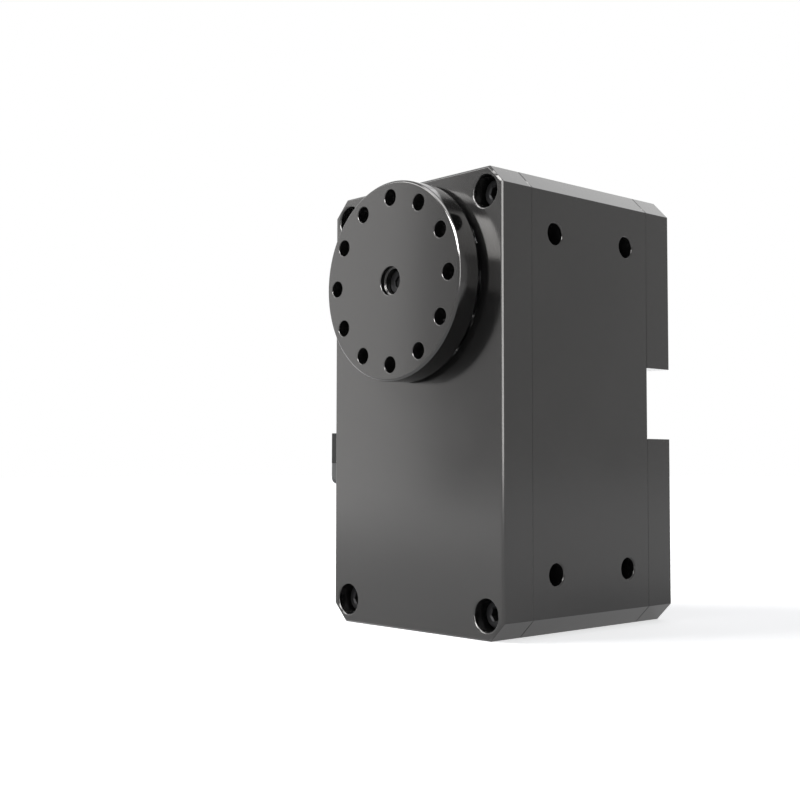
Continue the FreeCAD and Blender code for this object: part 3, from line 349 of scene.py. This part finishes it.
# ---- Screws: each is turned as rings round its axis, and set on its seats -------------------
SCREWS = {  # sizes in millimetres; the seed turns each screw by chance
    "long_case_screws": dict(seed=3, head=3.0, shank=1.5, thread=9.0, pitch=0.5),
    "upper_cover_screws": dict(
        seed=5, head=3.0, shank=1.5, thread=7.0, pitch=0.5, tip_forward=False
    ),
    "lower_cover_screws": dict(
        seed=8, head=3.0, shank=1.5, thread=7.0, pitch=0.5, tip_forward=False
    ),
    "horn_centre_screw": dict(seed=2, head=1.0, shank=1.25, thread=6.0, pitch=0.45),
}
SIDES = 36  # vertices round a screw, a multiple of the socket's six
THREAD_STEPS = 4  # rings in one turn of thread
THREAD_DEPTH = 0.55  # of the pitch
SOCKET = 0.5  # radius to the socket's corners, of the head's radius
SOCKET_FLOOR = 0.4  # height above the seat, of the head's height
SOCKET_CONE = 0.25  # depth of the cone in the floor, of the socket's radius
SOCKET_MOUTH = 1.12  # of the socket's radius
HEAD_EDGE = 0.08  # unit for the rounding of the head's edges, of its height
KNURL_ROOT = 0.965  # of the head's radius
NECK, NECK_RUN = 1.12, 0.15  # radius and height of the fillet under the head, of the shank's
TIP_FOOT, TIP_END = 0.86, 0.7  # radius where the point begins and ends, of the shank's
SIXTH_TURN = math.pi / 3


def solids_of(node):
    """Lowest and highest corner of each separate solid in a node."""
    mesh = welded(node)
    left, corners = set(mesh.verts), []
    while left:
        reached = [left.pop()]
        for vertex in reached:
            for edge in vertex.link_edges:
                other = edge.other_vert(vertex)
                if other in left:
                    left.remove(other)
                    reached.append(other)
        points = [v.co for v in reached]
        corners.append([Vector(f(p[i] for p in points) for i in range(3)) for f in (min, max)])
    mesh.free()
    return corners


def hexagon_radius(to_corner, angle):
    """Radius of a hexagon at an angle, with a corner at angle zero."""
    half = SIXTH_TURN / 2
    return to_corner * math.cos(half) / math.cos(angle % SIXTH_TURN - half)


def lathe(name, rings):
    """Closed mesh from rings along Y, each (y, radius at an angle), and a point at each end."""
    mesh = bmesh.new()
    angles = [2 * math.pi * i / SIDES for i in range(SIDES)]
    loops = [
        [mesh.verts.new((r(a) * math.cos(a), y, r(a) * math.sin(a))) for a in angles]
        for y, r in rings[1:-1]
    ]
    first, last = (mesh.verts.new((0, y, 0)) for y, _ in (rings[0], rings[-1]))
    for i in range(SIDES):
        j = (i + 1) % SIDES
        mesh.faces.new((first, loops[0][j], loops[0][i]))
        for near, far in zip(loops, loops[1:]):
            mesh.faces.new((near[i], near[j], far[j], far[i]))
        mesh.faces.new((last, loops[-1][i], loops[-1][j]))
    bmesh.ops.recalc_face_normals(mesh, faces=mesh.faces)
    for face in mesh.faces:
        face.smooth = True
    data = bpy.data.meshes.new(name)
    mesh.to_mesh(data)
    mesh.free()
    data.set_sharp_from_angle(angle=SHARP_EDGE)
    return data


def cap_screw(name, head_radius, head_height, radius, length, thread_length, pitch):
    """Socket cap screw with its seat at the origin, its head towards -Y, its tip towards +Y."""
    def plain(r):
        return lambda angle: r

    def hexagon(angle):
        return hexagon_radius(socket, angle)

    def knurled(angle):
        on_ridge = round(angle * SIDES / (2 * math.pi)) % 2
        return head_radius * (1.0 if on_ridge else KNURL_ROOT)

    def thread(y):
        def at(angle):
            turn = (y / pitch + angle / (2 * math.pi)) % 1.0
            return radius - THREAD_DEPTH * pitch * abs(2 * turn - 1)
        return at

    socket = head_radius * SOCKET
    socket_floor = -head_height * SOCKET_FLOOR
    edge = head_height * HEAD_EDGE
    thread_start = length - thread_length
    rings = [
        (socket_floor + SOCKET_CONE * socket, None),
        (socket_floor, hexagon),
        (-head_height + edge, hexagon),
        (-head_height, plain(socket * SOCKET_MOUTH)),
        (-head_height, plain(head_radius - 1.5 * edge)),
        (-head_height + edge, plain(head_radius - 0.4 * edge)),
        (-head_height + 1.6 * edge, knurled),
        (-2.2 * edge, knurled),
        (-1.4 * edge, plain(head_radius - edge)),
        (0, plain(head_radius - 1.3 * edge)),
        (0, plain(radius * NECK)),
        (NECK_RUN * radius, plain(radius)),
        (thread_start - pitch, plain(radius)),
    ]
    for i in range(int((thread_length - 2 * pitch) / pitch * THREAD_STEPS)):
        y = thread_start + i * pitch / THREAD_STEPS
        rings.append((y, thread(y)))
    rings += [
        (length - pitch, plain(radius * TIP_FOOT)),
        (length, plain(radius * TIP_END)),
        (length, None),
    ]
    return lathe(name, rings)


def placing_tree():
    """Copies of one screw on a mesh's points, each turned about its axis by a chance angle."""
    tree = bpy.data.node_groups.new("screws_on_seats", "GeometryNodeTree")
    for name, kind in (("Seats", "Geometry"), ("Screw", "Object"), ("Facing", "Float"),
                       ("Seed", "Int"), ("Finish", "Material")):
        tree.interface.new_socket(name, in_out="INPUT", socket_type="NodeSocket" + kind)
    tree.interface.new_socket("Screws", in_out="OUTPUT", socket_type="NodeSocketGeometry")
    wires = Wiring(tree)
    entry = wires.add("NodeGroupInput").outputs
    screw = wires.add("GeometryNodeObjectInfo")
    spin = wires.add("FunctionNodeRandomValue", data_type="FLOAT")
    turn = wires.add("ShaderNodeCombineXYZ")
    place = wires.add("GeometryNodeInstanceOnPoints")
    real = wires.add("GeometryNodeRealizeInstances")
    dress = wires.add("GeometryNodeSetMaterial")
    exit_node = wires.add("NodeGroupOutput")
    low, high = [i for i in spin.inputs if i.type == "VALUE" and i.name in ("Min", "Max")][:2]
    low.default_value, high.default_value = 0.0, SIXTH_TURN
    wires.link(entry["Screw"], screw.inputs["Object"])
    wires.link(entry["Seed"], spin.inputs["Seed"])
    wires.link([o for o in spin.outputs if o.type == "VALUE"][0], turn.inputs["Y"])
    wires.link(entry["Facing"], turn.inputs["Z"])
    wires.link(entry["Seats"], place.inputs["Points"])
    wires.link(screw.outputs["Geometry"], place.inputs["Instance"])
    wires.link(turn.outputs["Vector"], place.inputs["Rotation"])
    wires.link(place.outputs["Instances"], real.inputs["Geometry"])
    wires.link(real.outputs["Geometry"], dress.inputs["Geometry"])
    wires.link(entry["Finish"], dress.inputs["Material"])
    wires.link(dress.outputs["Geometry"], exit_node.inputs["Screws"])
    return tree


def seat_screws(node, tree, seed, head, shank, thread, pitch, tip_forward=True):
    """Replaces a node of equal cap screws by detailed ones on the same seats."""
    corners = solids_of(node)
    low, high = corners[0]
    head_height = head * MM
    shape = cap_screw(
        node + "_pattern",
        head_radius=(high.x - low.x) / 2,
        head_height=head_height,
        radius=shank * MM,
        length=high.y - low.y - head_height,
        thread_length=thread * MM,
        pitch=pitch * MM,
    )
    pattern = in_scene(node + "_pattern", shape)
    seats = []
    for low, high in corners:
        seat = low.y + head_height if tip_forward else high.y - head_height
        seats.append(((low.x + high.x) / 2, seat, (low.z + high.z) / 2))
    points = bpy.data.meshes.new(node + "_seats")
    points.from_pydata(seats, [], [])
    piece = in_scene(node + "_finished", points)
    modifier = piece.modifiers.new("screws", "NODES")
    modifier.node_group = tree
    values = {"Screw": pattern, "Facing": 0.0 if tip_forward else math.pi, "Seed": seed,
              "Finish": FINISHES[SLOT_OF[node]]}
    for socket in tree.interface.items_tree:
        if socket.name in values:
            modifier[socket.identifier] = values[socket.name]
    made_plain(piece)
    bpy.data.objects.remove(pattern)
    hand_over(piece, node)


def finish_nodes():
    """Softens the outer pieces, gives the inner ones their finish, and seats the screws."""
    for node, obj in NODES.items():
        if node in EDGE_BREAKS:
            soften_edges(node, EDGE_BREAKS[node] * MM)
        elif node not in SCREWS:
            give_finish(obj.data, node)
    tree = placing_tree()
    for node, sizes in SCREWS.items():
        seat_screws(node, tree, **sizes)


finish_nodes()


# ---- Floor, light and camera --------------------------------------------------------------
LOW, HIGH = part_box("middle_case")
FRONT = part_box("front_cover")[0].y
CENTRE = (LOW + HIGH) / 2
WHITE = (1.0, 1.0, 1.0, 1.0)
FLOOR_REACH = 3.0
FLOOR_GREY = (0.8, 0.8, 0.8, 1.0)
GLOW_NEAR, GLOW_FAR = 0.12, 0.6  # distances over which the floor's glow rises to white
GLOW_START = 0.68  # the glow round the object, where white is 1
FILL_COLOUR, FILL_STRENGTH = (0.9, 0.93, 1.0, 1.0), 0.25
COVER, DISC = "front_cover_finished", "output_horn_finished"


def background_ray(wires):
    """1 for the rays that see the background: from the camera, a reflection or through glass."""
    path = wires.add("ShaderNodeLightPath")
    total = path.outputs["Is Camera Ray"]
    for kind in ("Is Glossy Ray", "Is Transmission Ray"):
        either = wires.add("ShaderNodeMath", operation="MAXIMUM")
        wires.link(total, either.inputs[0])
        wires.link(path.outputs[kind], either.inputs[1])
        total = either.outputs[0]
    return total


def white_floor():
    """Pale floor that glows a little where it is seen, and is fully white away from the object."""
    material = bpy.data.materials.new("studio_floor")
    material.use_nodes = True
    material.node_tree.nodes.clear()
    wires = Wiring(material.node_tree)
    surface = wires.add("ShaderNodeBsdfDiffuse", {"Color": FLOOR_GREY})
    place = wires.add("ShaderNodeTexCoord")
    away = wires.add("ShaderNodeVectorMath", operation="LENGTH")
    wires.link(place.outputs["Object"], away.inputs[0])
    rise = {"From Min": GLOW_NEAR, "From Max": GLOW_FAR, "To Min": GLOW_START, "To Max": 1.0}
    glow = wires.add("ShaderNodeMapRange", rise)
    wires.link(away.outputs["Value"], glow.inputs["Value"])
    seen = wires.add("ShaderNodeMath", operation="MULTIPLY")
    wires.link(glow.outputs["Result"], seen.inputs[0])
    wires.link(background_ray(wires), seen.inputs[1])
    white = wires.add("ShaderNodeEmission", {"Color": WHITE})
    wires.link(seen.outputs[0], white.inputs["Strength"])
    both = wires.add("ShaderNodeAddShader")
    wires.link(surface.outputs["BSDF"], both.inputs[0])
    wires.link(white.outputs["Emission"], both.inputs[1])
    output = wires.add("ShaderNodeOutputMaterial")
    wires.link(both.outputs["Shader"], output.inputs["Surface"])
    return material


def floor():
    """Wide flat floor under the case."""
    mesh = bpy.data.meshes.new("studio_floor")
    signs = ((-1, -1), (1, -1), (1, 1), (-1, 1))
    corners = [(x * FLOOR_REACH, y * FLOOR_REACH, LOW.z) for x, y in signs]
    mesh.from_pydata(corners, [], [(0, 1, 2, 3)])
    mesh.materials.append(white_floor())
    in_scene("studio_floor", mesh)


def world():
    """Weak cool fill light, and a white background where it is seen."""
    sky = bpy.data.worlds.new("studio")
    bpy.context.scene.world = sky
    sky.use_nodes = True
    sky.node_tree.nodes.clear()
    wires = Wiring(sky.node_tree)
    fill = wires.add("ShaderNodeBackground", {"Color": FILL_COLOUR, "Strength": FILL_STRENGTH})
    white = wires.add("ShaderNodeBackground", {"Color": WHITE, "Strength": 1.0})
    mix = wires.add("ShaderNodeMixShader")
    wires.link(background_ray(wires), mix.inputs["Fac"])
    wires.link(fill.outputs["Background"], mix.inputs[1])
    wires.link(white.outputs["Background"], mix.inputs[2])
    output = wires.add("ShaderNodeOutputWorld")
    wires.link(mix.outputs["Shader"], output.inputs["Surface"])


def aimed(name, data, place, target):
    """A lamp or camera at a place, turned towards a target."""
    obj = in_scene(name, data)
    obj.location = place
    obj.rotation_euler = (Vector(target) - Vector(place)).to_track_quat("-Z", "Y").to_euler()
    return obj


def softbox(name, place, size, power):
    """Rectangular lamp aimed at the middle of the case."""
    light = bpy.data.lights.new(name, "AREA")
    light.shape = "RECTANGLE"
    light.size, light.size_y = size
    light.energy = power
    return aimed(name, light, place, CENTRE)


def glint_softbox(name, place, size, power, *pieces):
    """Softbox that gives gloss but no diffuse light, on some pieces alone where they are named."""
    lamp = softbox(name, place, size, power)
    lamp.visible_diffuse = False
    if pieces:
        lit = bpy.data.collections.new(name + "_pieces")
        for piece in pieces:
            lit.objects.link(bpy.data.objects[piece])
        lamp.light_linking.receiver_collection = lit


def lamps():
    """Each lamp has its place, its width and height in metres, and its watts."""
    softbox("left_softbox", (-0.624, -0.334, 0.10), (0.36, 0.6), 1.1)
    softbox("key_softbox", (-0.42, -0.44, 0.55), (0.45, 0.45), 6.0)
    softbox("top_softbox", (-0.14, 0.59, 0.49), (0.5, 0.4), 0.55)
    glint_softbox("edge_strip", (0.53, -0.48, 0.12), (0.14, 0.38), 1.3, COVER, DISC)
    glint_softbox("overhead_softbox", (0.03, -0.20, 0.72), (0.55, 0.40), 5.5, COVER, DISC)
    glint_softbox("front_softbox", (0.26, -0.50, 0.42), (0.44, 0.34), 7.5)
    glint_softbox("rim_softbox", (0.25, -0.46, 0.385), (0.42, 0.32), 16.0, DISC)


def camera():
    """Three-quarter view from the right, close to the floor."""
    yaw, pitch = math.radians(46.724), math.radians(3.058)
    lens = bpy.data.cameras.new("camera")
    lens.lens = 55.962
    lens.sensor_width = 36.0
    lens.shift_x = -0.05
    lens.clip_start = 0.01
    place = Vector((0.185353, FRONT - 0.167058, LOW.z + 0.032814))
    ahead = Vector(
        (-math.sin(yaw) * math.cos(pitch), math.cos(yaw) * math.cos(pitch), math.sin(pitch))
    )
    bpy.context.scene.camera = aimed("camera", lens, place, place + ahead)


floor()
world()
lamps()
camera()
bpy.context.scene.view_settings.view_transform = "Standard"
